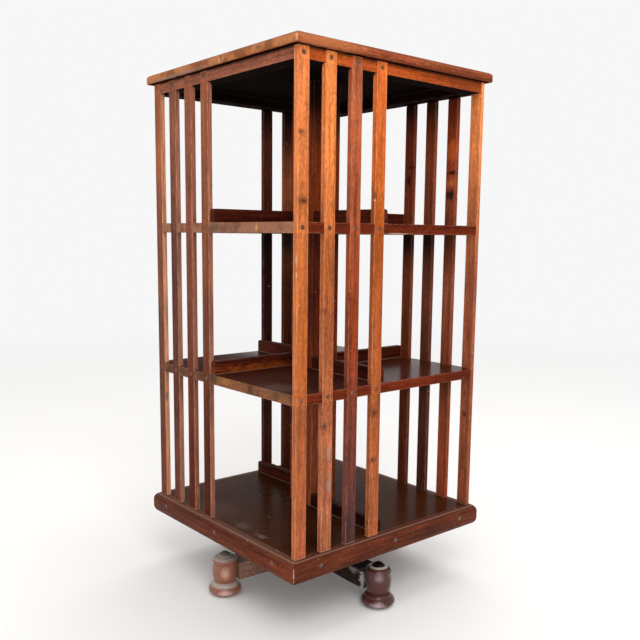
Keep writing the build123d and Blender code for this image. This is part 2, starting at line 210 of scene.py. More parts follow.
def makeWood(name, look):
    look = {**plainWood, **look}
    material, tree = newTree(name)
    coord = addNode(tree, "TexCoord", out="Object")
    place = addNode(tree, "SeparateXYZ", {0: coord}, out=None).outputs
    facing = addNode(tree, "SeparateXYZ", {0: addNode(tree, "TexCoord", out="Normal")}, out=None).outputs

    # the grain wavers a few mm from side to side
    waver = grainNoise(tree, coord, look, "waver", 2.0, 1)
    centred = addNode(tree, "VectorMath", {0: waver, 1: (0.5, 0.5, 0.5)}, operation="SUBTRACT")
    push = addNode(tree, "VectorMath", {0: centred, "Scale": look["sway"] / 1000}, operation="SCALE")
    bent = addNode(tree, "VectorMath", {0: coord, 1: push}, operation="ADD")
    band = grainNoise(tree, bent, look, "band")
    streak = grainNoise(tree, bent, look, "streak", 4.0)
    fleck = grainNoise(tree, bent, look, "fleck", 2.0)
    pore = grainNoise(tree, bent, look, "pore", 2.0)
    fibre = grainNoise(tree, bent, look, "fibre")
    cloud = grainNoise(tree, coord, look, "cloud")
    ragged = grainNoise(tree, coord, look, "rub", 2.0)

    # tones from the foot of the piece to its head
    levels = addNode(tree, "MapRange", {0: place["Z"], 1: caseFoot, 2: caseHead})
    tones = addNode(tree, "ValToRGB", {0: levels}, out=None)
    stops = tones.color_ramp.elements
    while len(stops) < len(look["tones"]):
        stops.new(0.5)
    while len(stops) > len(look["tones"]):
        stops.remove(stops[-1])
    for stop, (level, toneHex) in zip(stops, sorted(look["tones"])):
        stop.position = (level / 1000 - caseFoot) / (caseHead - caseFoot)
        stop.color = hexColour(toneHex)

    # light and dark along the grain
    streaked = addNode(tree, "Math", {0: band, 1: streak}, operation="ADD")
    deepest, palest = 1 - 1.2 * look["figure"], 1 + look["figure"]
    shade = addNode(tree, "MapRange", {0: streaked, 1: 0.78, 2: 1.22, 3: deepest, 4: palest})
    dim, bright = 1 - 0.5 * look["figure"], 1 + 0.5 * look["figure"]
    clouded = addNode(tree, "MapRange", {0: cloud, 1: 0.35, 2: 0.65, 3: dim, 4: bright})
    value = addNode(tree, "Math", {0: shade, 1: clouded}, operation="MULTIPLY")
    lively = look["flecks"]
    flecked = addNode(tree, "MapRange", {0: fleck, 1: 0.32, 2: 0.68, 3: 1 + lively, 4: 1 - lively})
    value = addNode(tree, "Math", {0: value, 1: flecked}, operation="MULTIPLY")
    colour = addNode(tree, "VectorMath", {0: tones.outputs[0], "Scale": value}, operation="SCALE")
    colour = paintFaces(tree, colour, look, facing, cloud, streak)

    # dark pores, then bands by level (painted shade, dust and wear), knots, and stains and painted
    # highlights
    stain = {0: 1.0, 6: colour, 7: hexColour(look["poreHex"])}
    deep = addNode(tree, "Mix", stain, 2, data_type="RGBA", blend_type="MULTIPLY")
    porous = addNode(tree, "MapRange", {0: pore, 1: 0.54, 2: 0.68, 3: 0.0, 4: look["pores"]})
    colour = addNode(tree, "Mix", {0: porous, 6: colour, 7: deep}, 2, data_type="RGBA")
    colour = paintBands(tree, colour, place["Z"], look["bands"])
    colour = paintKnots(tree, coord, colour, ragged, look["knots"])
    colour = paintSpots(tree, coord, colour, ragged, look["spots"], look["tear"])

    # arrises rubbed pale: of the three depths under the box's faces, the middle one is the way to the
    # nearest arris
    low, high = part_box(look["node"])
    inside = addNode(tree, "VectorMath", {0: coord, 1: (low + high) / 2}, operation="SUBTRACT")
    spread = addNode(tree, "VectorMath", {0: inside}, operation="ABSOLUTE")
    depth = addNode(tree, "VectorMath", {0: (high - low) / 2, 1: spread}, operation="SUBTRACT")
    deepX, deepY, deepZ = addNode(tree, "SeparateXYZ", {0: depth}, out=None).outputs
    less = addNode(tree, "Math", {0: deepX, 1: deepY}, operation="MINIMUM")
    more = addNode(tree, "Math", {0: deepX, 1: deepY}, operation="MAXIMUM")
    rest = addNode(tree, "Math", {0: more, 1: deepZ}, operation="MINIMUM")
    arris = addNode(tree, "Math", {0: less, 1: rest}, operation="MAXIMUM")
    begin, most = look["wornReach"]
    near = addNode(tree, "MapRange", {0: arris, 1: begin, 2: most, 3: 0.0, 4: look["worn"]})
    broken = addNode(tree, "MapRange", {0: ragged, 1: 0.38, 2: 0.58})
    rubbed = addNode(tree, "Math", {0: near, 1: broken}, operation="MULTIPLY")
    bare = hexColour(look["wornHex"])
    colour = addNode(tree, "Mix", {0: rubbed, 6: colour, 7: bare}, 2, data_type="RGBA")

    # pale specks
    cells = addNode(tree, "TexVoronoi", {"Vector": coord, "Scale": 1000 / grain["speck"][0]}, out=None)
    lot = addNode(tree, "SeparateColor", {0: cells.outputs["Color"]})
    chosen = addNode(tree, "Math", {0: lot, 1: 1 - look["specks"]}, operation="GREATER_THAN")
    dot = addNode(tree, "MapRange", {0: cells.outputs["Distance"], 1: 0.12, 2: 0.07, 3: 0.0, 4: 0.65})
    speck = addNode(tree, "Math", {0: chosen, 1: dot}, operation="MULTIPLY")
    fresh = hexColour(look["speckHex"])
    colour = addNode(tree, "Mix", {0: speck, 6: colour, 7: fresh}, 2, data_type="RGBA")

    # grey dust settled on what faces up
    if "dust" in look:
        dustHex, thick = look["dust"]
        lying = addNode(tree, "MapRange", {0: facing["Z"], 1: 0.3, 2: 0.75, 3: 0.0, 4: thick})
        patchy = addNode(tree, "MapRange", {0: cloud, 1: 0.35, 2: 0.6, 3: 0.5, 4: 1.0})
        dusty = addNode(tree, "Math", {0: lying, 1: patchy}, operation="MULTIPLY")
        colour = addNode(tree, "Mix", {0: dusty, 6: colour, 7: hexColour(dustHex)}, 2, data_type="RGBA")

    # gloss follows the grain
    glossy, satin = look["gloss"]
    polish = addNode(tree, "Math", {0: streak, 1: ragged}, operation="ADD")
    rough = addNode(tree, "MapRange", {0: polish, 1: 0.75, 2: 1.25, 3: glossy, 4: satin})
    if "polished" in look:  # polished upper faces mirror what stands on them, and the undersides are bare
        above = addNode(tree, "MapRange", {0: facing["Z"], 1: 0.6, 2: 0.9})
        sleek, matt = look["polished"]
        smooth = addNode(tree, "MapRange", {0: cloud, 1: 0.35, 2: 0.65, 3: sleek, 4: matt})
        if "dull" in look:  # dusty on one side, from one level of X to another
            clear, dulled = (level / 1000 for level in look["dull"])
            duller = addNode(tree, "MapRange", {0: place["X"], 1: clear, 2: dulled, 3: 0.0, 4: 0.45})
            smooth = addNode(tree, "Math", {0: smooth, 1: duller}, operation="ADD")
        rough = addNode(tree, "Mix", {0: above, 2: rough, 3: smooth})
        below = addNode(tree, "MapRange", {0: facing["Z"], 1: -0.6, 2: -0.9})
        rough = addNode(tree, "Mix", {0: below, 2: rough, 3: 1.0})
    relief = addNode(tree, "Math", {0: fibre, 1: pore}, operation="SUBTRACT")
    bump = addNode(tree, "Bump", {"Height": relief, "Strength": look["bump"], "Distance": 0.0006})
    surface = {"Base Color": colour, "Roughness": rough, "Normal": bump}
    shader = addNode(tree, "BsdfPrincipled", {**surface, "IOR": 1.48, "Specular IOR Level": look["shine"]})
    addNode(tree, "OutputMaterial", {"Surface": shader}, out=None)
    return material


# Slats: each was ripped from another board, so each has its own tones. Levels and places in mm.
# Knots and spots: place, reach along X, Y and Z, colour, strength.
# Bands: lowest and highest level, soft run below, colour, strength.
# Narrow: the axis that the narrow sides face along, their colour, strength.
slatLooks = {
    "slat_1_1": {
        "tones": [(980, "D87A42"), (560, "B25E29"), (200, "9A5232")],
        "narrow": ("X", "B0683E", 0.45),
        "knots": [
            ((-231, -240, 899), (8, 14, 6), "4A200E", 0.7),
            ((-227, -240, 787), (11, 14, 8), "3A180C", 0.85),
        ],
        "spots": [
            ((-240, -239, 690), (1.6, 3, 12), "C8B098", 0.6),
            ((-240, -239, 662), (1.6, 3, 7), "C8B098", 0.6),
        ],
    },
    "slat_1_2": {
        "tones": [(960, "E68240"), (650, "9A5026"), (230, "9E5C3C")],
        "narrow": ("X", "A4643E", 0.12),
        "flecks": 0.3,
        "knots": [
            ((-176, -240, 598), (8, 14, 9), "4A2A20", 0.6),
            ((-177, -240, 393), (11, 14, 8), "342420", 0.8),
        ],
        "spots": [
            ((-163, -240, 342), (5, 6, 20), "8A8078", 0.7),
            ((-162, -240, 283), (5, 6, 24), "8A8078", 0.7),
        ],
    },
    "slat_1_3": {
        "tones": [(960, "A65634"), (580, "843412"), (200, "4C2C2A")],
        "narrow": ("X", "7E4C3C", 0.15),
        "figure": 0.38,
        "worn": 0.25,
    },
    "slat_1_4": {
        "tones": [(980, "E0702E"), (760, "A24D18"), (230, "A2562E")],
        "narrow": ("X", "925236", 0.15),
        "knots": [
            ((-52, -240, 400), (13, 14, 10), "3A1A10", 0.75),
            ((-54, -240, 309), (10, 14, 7), "3A1A10", 0.85),
            ((-56, -240, 185), (6, 14, 5), "4A2416", 0.6),
        ],
        "spots": [
            ((-60, -240, 802), (4, 4, 13), "1A1210", 0.9),
            ((-60, -240, 794), (2, 4, 3), "E0D0C0", 0.9),
        ],
    },
    "slat_4_1": {
        "tones": [(950, "A05A3A"), (560, "724838"), (240, "643628")],
        "narrow": ("Y", "DC9A72", 0.72),
        "spots": [((-238, 214, 380), (14, 8, 14), "5A4E4A", 0.6)],
    },
    "slat_4_2": {
        "tones": [(950, "804C38"), (600, "5C362C"), (250, "603426")],
        "narrow": ("Y", "AE7662", 0.65),
    },
    "slat_4_3": {
        "tones": [(950, "8E523C"), (600, "724032"), (250, "541E10")],
        "narrow": ("Y", "A46A54", 0.55),
    },
    "slat_4_4": {
        "tones": [(950, "9C5A3C"), (600, "70402C"), (250, "4C1E0E")],
        "narrow": ("Y", "AC705A", 0.6),
        "spots": [((-240, 46, 1030), (6, 7, 6), "5A4A44", 0.7)],
    },
    "slat_2_1": {
        "tones": [(960, "EC8C50"), (640, "9A543A"), (250, "86482E")],
        "shadeAndDust": 0.12,
        "knots": [
            ((230, -226, 399), (14, 7, 7), "3A2A26", 0.6),
            ((230, -226, 356), (14, 7, 9), "241816", 0.85),
        ],
    },
    "slat_2_2": {
        "tones": [(960, "923C1E"), (600, "8E4C34"), (250, "8C4228")],
        "spots": [
            ((230, -170, 910), (14, 14, 26), "C05C24", 0.8),
            ((230, -170, 863), (14, 16, 5), "1A0E0A", 0.9),
            ((230, -170, 842), (14, 10, 12), "C86A30", 0.7),
            ((230, -168, 817), (14, 14, 13), "1E1618", 0.95),
        ],
    },
    "slat_2_3": {"tones": [(960, "8A4022"), (600, "6A3828"), (250, "502A22")], "shadeAndDust": 0.85},
    "slat_2_4": {
        "tones": [(960, "78301A"), (600, "824026"), (250, "5C2A18")],
        "shadeAndDust": 0.92,
        "spots": [
            ((230, -48, 851), (14, 7, 17), "120A0A", 0.8),
            ((230, -52, 881), (14, 14, 4), "1A0E0A", 0.8),
        ],
    },
    "slat_3_1": {"tones": [(900, "8A4628"), (300, "743824")]},
    "slat_3_2": {"tones": [(900, "743C24"), (300, "683220")]},
    # these two slats' tones are painted shade by level, darkest near the top of a tier
    "slat_3_3": {"tones": [(950, "522010"), (850, "AC6038"), (620, "4E2210")], "shadeAndDust": 0.92},
    "slat_3_4": {"tones": [(860, "5C2A1C"), (650, "280A04"), (420, "46221A")], "shadeAndDust": 0.92},
}
# Painted shade: bands that darken the slats under the rail and both shelves, and at the feet of the back
# slats. The front slats get pale dust at their feet.
shadeAndDust = {
    "hex": "140B08",
    "levels": [(1000, 1016, 60), (712, 733.5, 60), (418, 436, 45)],  # painted shade under the rail and both shelves
    "front": 0.12,
    "behind": 0.45,  # on the slats at the back, where the shade is deeper
    "foot": (157, 159, 2),  # painted shade at the foot of the slats behind, pale dust at the foot of those in front
    "footHex": "A89080",
    "footStrength": 0.4,
}
for number, (node, look) in enumerate(slatLooks.items()):
    hidden = node.startswith(("slat_2", "slat_3"))
    strength = look.get("shadeAndDust", shadeAndDust["behind"] if hidden else shadeAndDust["front"])
    bands = [(*level, shadeAndDust["hex"], strength) for level in shadeAndDust["levels"]]
    footHex = shadeAndDust["hex"] if hidden else shadeAndDust["footHex"]
    bands.append((*shadeAndDust["foot"], footHex, shadeAndDust["footStrength"]))
    common = {
        "node": node,
        "along": "Z",
        "seed": number + 1,
        "bands": bands,
        "shine": 0.1 if node.startswith("slat_1") else 0.04,
        "worn": 0.2 if hidden else 0.45,
    }
    dress(node, makeWood("waxed_teak_" + node, {**common, **look}))
print("slats dressed")

# Boards and rails: polished dark on top, painted shade nearly black beneath, paler and redder on the
# handled edges
boardLooks = {
    "top_board": {
        "along": "X", "tones": [(500, "924A2C")],
        "endHex": "A4643C", "endPaleHex": "BA7C50", "endDarkHex": "7A462C",
        "topHex": "6E3A24", "underShadeHex": "0C0402",
        "shine": 0.02, "polished": (0.3, 0.42), "specks": 0.0,
        "spots": [
            ((-251, -251, 1046), (1.5, 1.5, 8), "E0C4B0", 0.55),
            ((-252, -25, 1044), (4, 2, 9), "D8B090", 0.6),
            ((-252, -147, 1046), (4, 9, 6), "6A4A3A", 0.7),
            ((-251, 120, 1040), (5, 150, 4), "8E7A6A", 0.6),
            ((-190, -252, 1047), (110, 8, 18), "D28452", 0.38),
            # painted shade along the lower part of the front edge, which faces down
            ((110, -252, 1039), (270, 6, 6), "5A2816", 0.6),
        ],
    },
    "upper_shelf": {
        "along": "X", "tones": [(500, "5E2210")],
        "endHex": "885842", "endPaleHex": "A07258", "endDarkHex": "68483A",
        "topHex": "42201A", "underShadeHex": "140805",
        "shine": 0.02, "polished": (0.16, 0.24), "bump": 0.05, "worn": 0.2,
        "spots": [
            ((-240, 12, 743), (4, 26, 12), "5E4636", 0.8),
            ((-240, -124, 743), (3, 4, 8), "C8965E", 0.8),
            ((0, -240, 734.5), (34, 3, 1.8), "C8B4A4", 0.55),
        ],
    },
    "lower_shelf": {
        "along": "X", "tones": [(500, "602412")],
        "endHex": "6A422E", "endPaleHex": "90603E", "endDarkHex": "4E3628",
        "topHex": "462016", "underShadeHex": "140805",
        "shine": 0.02, "polished": (0.16, 0.24), "dull": (0, -110), "bump": 0.05, "worn": 0.2,
        "spots": [
            ((-240, 150, 447), (4, 60, 12), "4E3C32", 0.8),
            ((-240, -20, 448), (3, 22, 7), "9A6A3A", 0.7),
            # painted sheen near the front edge
            ((-215, -165, 455), (36, 64, 6), "6A5850", 0.5),
        ],
    },
    "bottom_panel": {
        "along": "X", "tones": [(100, "3C2018")],
        "topHex": "42210F", "topShade": (0.74, 1.3),
        "shine": 0.012, "polished": (0.2, 0.3), "bump": 0.06, "worn": 0.1, "pores": 0.6, "specks": 0.12,
        "spots": [
            ((-218, -110, 157.5), (9, 20, 6), "7A645C", 0.6),
            ((-214, -40, 157.5), (14, 26, 6), "6A4E44", 0.5),
            # painted dark reflection between the front slats' feet
            ((-140, -200, 157.5), (70, 45, 6), "180A06", 0.5),
            ((-205, 90, 157.5), (50, 90, 6), "6A4634", 0.45),
        ],
    },
    "rail_1": {
        "along": "X", "tones": [(500, "A0481C")],
        "spots": [((190, -240, 1026), (110, 8, 22), "6A2E16", 0.6)],
    },
    "rail_2": {"along": "Y", "tones": [(500, "7A4430")], "inner": ("X", "180A06")},
    "rail_3": {"along": "X", "tones": [(500, "6A3826")], "inner": ("Y", "180A06")},
    "rail_4": {"along": "Y", "tones": [(500, "985A44")]},
}
rail = {
    "underShadeHex": "100604", "shine": 0.025, "polished": (0.42, 0.6), "worn": 0.1, "specks": 0.0,
    # painted shadow along the rails' tops, under the top board's overhang
    "bands": [(1034.5, 1037, 2, "1E0E08", 0.75)],
}
for number, (node, look) in enumerate(boardLooks.items()):
    common = rail if node.startswith("rail") else {}
    dress(node, makeWood("waxed_rosewood_" + node, {"node": node, "seed": 20 + number, **common, **look}))
print("boards dressed")

# Core and fences: nearly black-brown with red streaks; painted shade darkens the core under the top board
# and shelves, and the fence in the darkest place
fence = {
    "tones": [(500, "4C1C10")], "figure": 0.48, "worn": 0.1, "shine": 0.03, "dust": ("4A342A", 0.5),
    "shadeTones": [(500, "2E110A")],
    "line": (0.8, 0.5, "A08E80", 0.5),  # pale dust in the joint: height, soft run, colour, strength
    "glow": (5, (150, 14, 12), "A04E1C", 0.6),  # an orange streak along the foot: height, reach, colour, strength
}
lineHigh, *lineLook = fence["line"]
glowHigh, *glowLook = fence["glow"]
for number, node in enumerate(sorted(n for n in nodes if n.startswith("fence_"))):
    low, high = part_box(node)
    foot = low.z * 1000
    look = {
        "node": node,
        "along": "Y" if node.endswith(("_1", "_3")) else "X",
        "seed": 40 + number,
        "bands": [(foot, foot + lineHigh, *lineLook)],
    }
    if node == "fence_bottom_1":  # in the darkest place: its darker tones are painted shade
        look["tones"] = fence["shadeTones"]
    if node == "fence_lower_4":  # an orange streak along its foot
        middle = (low + high) * 500  # in mm
        look["spots"] = [((middle.x, middle.y, foot + glowHigh), *glowLook)]
    dress(node, makeWood("dark_rosewood_" + node, {**fence, **look}))
core = {
    "along": "Z", "tones": [(980, "9A4418"), (600, "601C06"), (250, "8A4428")],
    "figure": 0.5, "shine": 0.05, "worn": 0.1,
    # painted shade: nearly black under the top board, darker under both shelves
    "bands": [
        (985, 1037, 90, "0A0403", 0.95),
        (712, 733.5, 60, shadeAndDust["hex"], 0.6),
        (418, 436, 40, shadeAndDust["hex"], 0.5),
    ],
}
for number in range(1, 5):
    node = f"core_board_{number}"
    dress(node, makeWood("dark_rosewood_" + node, {"node": node, "seed": 55 + number, **core}))
print("core and fences dressed")

# Base: the same wood, greyed by the dust that settles near the floor
baseLooks = {
    "base_beam_long": {
        "along": "X", "tones": [(50, "8C6858")], "dust": ("A8A49A", 0.85), "shine": 0.04,
    },
    "base_beam_cross": {
        "along": "Y", "tones": [(50, "2E2220")], "dust": ("2E2824", 0.7), "shine": 0.04,
        "spots": [
            ((-34, -172, 62), (9, 16, 8), "8A857C", 0.7),
            ((-37, -202, 52), (9, 11, 26), "A8A29C", 0.9),
            ((-12, -190, 66), (22, 7, 4), "A8A296", 0.7),
        ],
    },
    "foot_1": {"along": "Z", "tones": [(50, "7E5244")], "bands": [(67, 92, 3, "86827A", 0.6)]},
    "foot_2": {"along": "Z", "tones": [(50, "7E5244")], "bands": [(67, 92, 3, "86827A", 0.6)]},
    "foot_3": {
        "along": "Z", "tones": [(50, "82503E")],
        "bands": [
            (76.5, 92, 2, "968E86", 0.8),
            (84, 92, 1.5, "4C4A44", 0.75),
            (21, 27.5, 3, "A89E98", 0.7),
        ],
        "spots": [
            # the next two are painted highlights, on the bun and on the middle of the drum
            ((-241, -18, 11), (20, 20, 8), "E0BCB8", 0.6),
            ((-238, -14, 50), (14, 14, 20), "E0B4A0", 0.6),
            ((-203, -4, 48), (6, 6, 22), "8E8682", 0.6),
        ],
    },
    "foot_4": {
        "along": "Z", "tones": [(50, "4A2824")],
        "bands": [(82.2, 92, 1, "120C0C", 0.95), (80.6, 82, 0.8, "C0B4A4", 0.8)],
        "spots": [
            # painted highlights, on the bun and near the top of the drum
            ((-36, -246, 10), (20, 20, 8), "BCA0A4", 0.75),
            ((-30, -242, 66), (13, 13, 12), "9A8088", 0.6),
        ],
    },
}
turnedFoot = {
    "worn": 0.0, "gloss": (0.23, 0.26), "shine": 0.35, "pores": 0.05,
    "figure": 0.12, "flecks": 0.08, "bump": 0.04, "tear": 0.12,
}
for number, (node, look) in enumerate(baseLooks.items()):
    turned = turnedFoot if node.startswith("foot") else {}
    common = {"node": node, "seed": 70 + number, "wornHex": "B4A89C", **turned}
    dress(node, makeWood("dusty_rosewood_" + node, {**common, **look}))
print("base dressed")


# Forged iron under old oil: nearly black, mottled with brown rust, dull highlights
def makeIron(name, darkHex, rustHex, patch):
    material, tree = newTree(name)
    coord = addNode(tree, "TexCoord", out="Object")
    mottle = addNode(tree, "TexNoise", {"Vector": coord, "Scale": 1000 / patch, "Detail": 4.0})
    rust = addNode(tree, "MapRange", {0: mottle, 1: 0.42, 2: 0.62})
    tones = {6: hexColour(darkHex), 7: hexColour(rustHex)}
    colour = addNode(tree, "Mix", {0: rust, **tones}, 2, data_type="RGBA")
    rough = addNode(tree, "MapRange", {0: mottle, 3: 0.4, 4: 0.75})
    bump = addNode(tree, "Bump", {"Height": mottle, "Strength": 0.35, "Distance": 0.0004})
    surface = {"Base Color": colour, "Roughness": rough, "Normal": bump}
    shader = addNode(tree, "BsdfPrincipled", {**surface, "Metallic": 0.75})
    addNode(tree, "OutputMaterial", {"Surface": shader}, out=None)
    return material


forgedIron = makeIron("forged_iron", "2A2826", "4A3428", 9)  # rust patches about 9 mm across
for node in ("spindle", "flange_screws", "guide_plate", "guide_screws", "pivot_cup", "cup_screws"):
    dress(node, forgedIron)
print("iron dressed")


# Steel heads: grey-brown, mottled, each a little lighter or darker than the next; those of the left face
# are stained over. Sizes in mm, levels of X in m.
headSteel = {"mottle": 2.2, "apart": 40, "luck": (0.6, 1.3), "leftFace": (-0.234, -0.237), "stain": 0.85}


def makeHeadSteel(name, darkHex, paleHex, stainHex):
    material, tree = newTree(name)
    coord = addNode(tree, "TexCoord", out="Object")
    fine = 1000 / headSteel["mottle"]
    mottle = addNode(tree, "TexNoise", {"Vector": coord, "Scale": fine, "Detail": 3.0})
    pale = addNode(tree, "MapRange", {0: mottle, 1: 0.38, 2: 0.62})
    tones = {6: hexColour(darkHex), 7: hexColour(paleHex)}
    colour = addNode(tree, "Mix", {0: pale, **tones}, 2, data_type="RGBA")
    cells = addNode(tree, "TexVoronoi", {"Vector": coord, "Scale": 1000 / headSteel["apart"]}, "Color")
    darkest, lightest = headSteel["luck"]
    lot = addNode(tree, "SeparateColor", {0: cells})
    luck = addNode(tree, "MapRange", {0: lot, 3: darkest, 4: lightest})
    colour = addNode(tree, "VectorMath", {0: colour, "Scale": luck}, operation="SCALE")
    side = addNode(tree, "SeparateXYZ", {0: coord}, "X")
    start, full = headSteel["leftFace"]
    stained = addNode(tree, "MapRange", {0: side, 1: start, 2: full, 3: 0.0, 4: headSteel["stain"]})
    colour = addNode(tree, "Mix", {0: stained, 6: colour, 7: hexColour(stainHex)}, 2, data_type="RGBA")
    rough = addNode(tree, "MapRange", {0: mottle, 3: 0.35, 4: 0.7})
    bump = addNode(tree, "Bump", {"Height": mottle, "Strength": 0.4, "Distance": 0.0003})
    surface = {"Base Color": colour, "Roughness": rough, "Normal": bump}
    shader = addNode(tree, "BsdfPrincipled", {**surface, "Metallic": 0.35})
    addNode(tree, "OutputMaterial", {"Surface": shader}, out=None)
    return material


def pick(piece, kind, test):  # kind is faces or edges
    bpy.ops.mesh.select_mode(type="FACE" if kind == "faces" else "EDGE")
    bpy.ops.mesh.select_all(action="DESELECT")
    mesh = bmesh.from_edit_mesh(piece.data)
    for part in getattr(mesh, kind):
        if test(part):
            part.select_set(True)
    bmesh.update_edit_mesh(piece.data)


def copyTo(model, name, places):  # one joined piece of copies, each with its own mesh
    bpy.ops.object.select_all(action="DESELECT")
    for place in places:
        mesh = model.data.copy()
        mesh.transform(place)
        copy = bpy.data.objects.new(name, mesh)
        bpy.context.scene.collection.objects.link(copy)
        copy.select_set(True)
        bpy.context.view_layer.objects.active = copy
    bpy.ops.object.join()
    bpy.data.objects.remove(model)
    piece = bpy.context.object
    piece.name = name
    return piece


# Slotted screw head, modelled once looking up with its rim at z = 0, then set into every slat
screw = {
    "radius": 0.0042, "depth": 0.0022, "rim": 0.0009, "crown": 0.0004, "slot": 0.0011, "slotDepth": 0.0008,
    "sides": 16, "face": 0.2397,
    "rows": (0.4455, 0.743, 1.02625),
    "columns": (-0.2275, -0.1675, -0.1075, -0.0475),
}
quarterTurn = math.radians(90)
lookOut = Matrix.Rotation(quarterTurn, 4, "X")
bpy.ops.object.select_all(action="DESELECT")
bpy.ops.mesh.primitive_cylinder_add(vertices=screw["sides"], radius=screw["radius"], depth=screw["depth"],
                                    location=(0, 0, -screw["depth"] / 2))
bpy.ops.object.transform_apply(location=True)
screwModel = bpy.context.object
bpy.ops.object.mode_set(mode="EDIT")
pick(screwModel, "faces", lambda face: face.normal.z > 0.9)
bpy.ops.mesh.inset(thickness=screw["rim"])
bpy.ops.transform.translate(value=(0, 0, screw["crown"]))
for side in (1, -1):  # the crown is cut at both sides of the slot
    pick(screwModel, "faces", lambda face: face.calc_center_median().z > 0.7 * screw["crown"])
    bpy.ops.mesh.bisect(plane_co=(0, side * screw["slot"] / 2, 0), plane_no=(0, 1, 0))
pick(screwModel, "faces",
     lambda face: face.normal.z > 0.99 and abs(face.calc_center_median().y) < screw["slot"] / 4)
bpy.ops.mesh.extrude_region_move(TRANSFORM_OT_translate={"value": (0, 0, -screw["slotDepth"])})
bpy.ops.object.mode_set(mode="OBJECT")
screwPlaces = []
for quarter in range(4):
    for column in screw["columns"]:
        for row in screw["rows"]:
            spin = Matrix.Rotation(random.uniform(0, math.pi), 4, "Z")
            seat = Matrix.Translation((column, -screw["face"], row)) @ lookOut
            screwPlaces.append(Matrix.Rotation(quarterTurn * quarter, 4, "Z") @ seat @ spin)
screwHeads = copyTo(screwModel, "slatScrewHeads", screwPlaces)
screwHeads.data.materials.append(makeHeadSteel("browned_steel_screws", "56341F", "865C42", "74483A"))
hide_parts("slat_screws")
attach(screwHeads, "case")
print("screw heads set")

# Moulded edging: one ring with a soft nose and a rounded foot, then cut along its four mitres. Dark,
# streaked wood with a pale line along the nose, partly rubbed wear and partly painted highlight, and a
# pale mitre at the corner. Sizes in m, marks in mm.
edging = {
    "corner": 0.007, "cornerSteps": 5, "steps": 7,
    "noseWidth": 0.012, "noseHeight": 0.014, "footWidth": 0.008, "footHeight": 0.014,
    "quirkWidth": 0.0016, "quirkDepth": 0.0012, "weld": 0.00005,
    "woods": [("5A2A18", "4E2416"), ("64301F", "5A3024"), ("64301F", "5A3024"), ("5E2C1A", "603A2C")],
    # the pale line along the nose: rubbed wear and painted highlight
    "line": (156.3, 156.8, 0.5, "9A7A68", 0.5),
    "mitre": [
        ((-252.4, -252.4, 137), (0.8, 0.8, 9)),
        ((-251.9, -251.9, 147), (0.9, 0.9, 4)),
        ((-251.8, -251.8, 125.5), (0.9, 0.9, 4)),
    ],
    "mitreHex": "E0D4C8",
}
edgingLow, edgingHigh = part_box("edging_1")
outer, inner = -edgingLow.y, -edgingHigh.y
footTop = edgingLow.z + edging["footHeight"]
noseFoot = edgingHigh.z - edging["noseHeight"]
bpy.ops.object.select_all(action="DESELECT")
bpy.ops.mesh.primitive_cube_add(size=1, location=(0, 0, (footTop + noseFoot) / 2),
                                scale=(2 * outer, 2 * outer, noseFoot - footTop))
bpy.ops.object.transform_apply(location=True, scale=True)
ring = bpy.context.object
bpy.ops.object.mode_set(mode="EDIT")
pick(ring, "edges", lambda edge: abs(edge.verts[0].co.z - edge.verts[1].co.z) > 0.001)  # the upright ones
bpy.ops.mesh.bevel(offset=edging["corner"], segments=edging["cornerSteps"], affect="EDGES")
# both ways round from the flat of the face: half the ring's width and the level, step by step
arc = [quarterTurn * step / edging["steps"] for step in range(1, edging["steps"] + 1)]
noseEnd = outer - edging["noseWidth"]
upwards = [
    (outer - edging["noseWidth"] * (1 - math.cos(t)), noseFoot + edging["noseHeight"] * math.sin(t))
    for t in arc
]
upwards += [(noseEnd, edgingHigh.z - edging["quirkDepth"]), (noseEnd - edging["quirkWidth"], edgingHigh.z)]
upwards += [(inner, edgingHigh.z), (inner, edgingLow.z)]
downwards = [
    (outer - edging["footWidth"] * (1 - math.cos(t)), footTop - edging["footHeight"] * math.sin(t))
    for t in arc
]
downwards += [(inner, edgingLow.z)]
for way, level, route in ((1, noseFoot, upwards), (-1, footTop, downwards)):
    pick(ring, "faces", lambda face: face.normal.z * way > 0.9 and len(face.verts) > 4)
    half = outer
    for nextHalf, nextLevel in route:
        bpy.ops.mesh.extrude_region_move(TRANSFORM_OT_translate={"value": (0, 0, nextLevel - level)})
        bpy.ops.transform.resize(value=(nextHalf / half, nextHalf / half, 1), center_override=(0, 0, 0))
        half, level = nextHalf, nextLevel
    bpy.ops.mesh.delete(type="FACE")
bpy.ops.mesh.select_all(action="SELECT")
bpy.ops.mesh.remove_doubles(threshold=edging["weld"])
bpy.ops.mesh.normals_make_consistent(inside=False)
bpy.ops.object.mode_set(mode="OBJECT")
for quarter, (toneHex, noseHex) in enumerate(edging["woods"]):
    node = f"edging_{quarter + 1}"
    strip = bpy.data.objects.new("moulded_" + node, ring.data.copy())
    bpy.context.scene.collection.objects.link(strip)
    bpy.ops.object.select_all(action="DESELECT")
    strip.select_set(True)
    bpy.context.view_layer.objects.active = strip
    bpy.ops.object.mode_set(mode="EDIT")
    for mitre in (1, -1):
        bpy.ops.mesh.select_all(action="SELECT")
        away = Matrix.Rotation(quarterTurn * quarter, 3, "Z") @ Vector((mitre, 1, 0)).normalized()
        bpy.ops.mesh.bisect(plane_co=(0, 0, 0), plane_no=away, use_fill=True, clear_outer=True)
    bpy.ops.object.mode_set(mode="OBJECT")
    bpy.ops.object.shade_smooth_by_angle(angle=math.radians(35))
    look = {
        "node": node, "seed": 30 + quarter, "along": "XY"[quarter % 2],
        "tones": [(100, toneHex)], "topHex": noseHex,
        "figure": 0.42, "shine": 0.06, "worn": 0.2, "wornHex": "B08C78", "specks": 0.12, "tear": 0.15,
        "bands": [edging["line"]],
        "spots": [(*mark, edging["mitreHex"], 0.75) for mark in edging["mitre"]],
    }
    strip.data.materials.append(makeWood("waxed_rosewood_" + node, look))
    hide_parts(node)
    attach(strip, "case")
bpy.data.objects.remove(ring)
print("edging shaped")

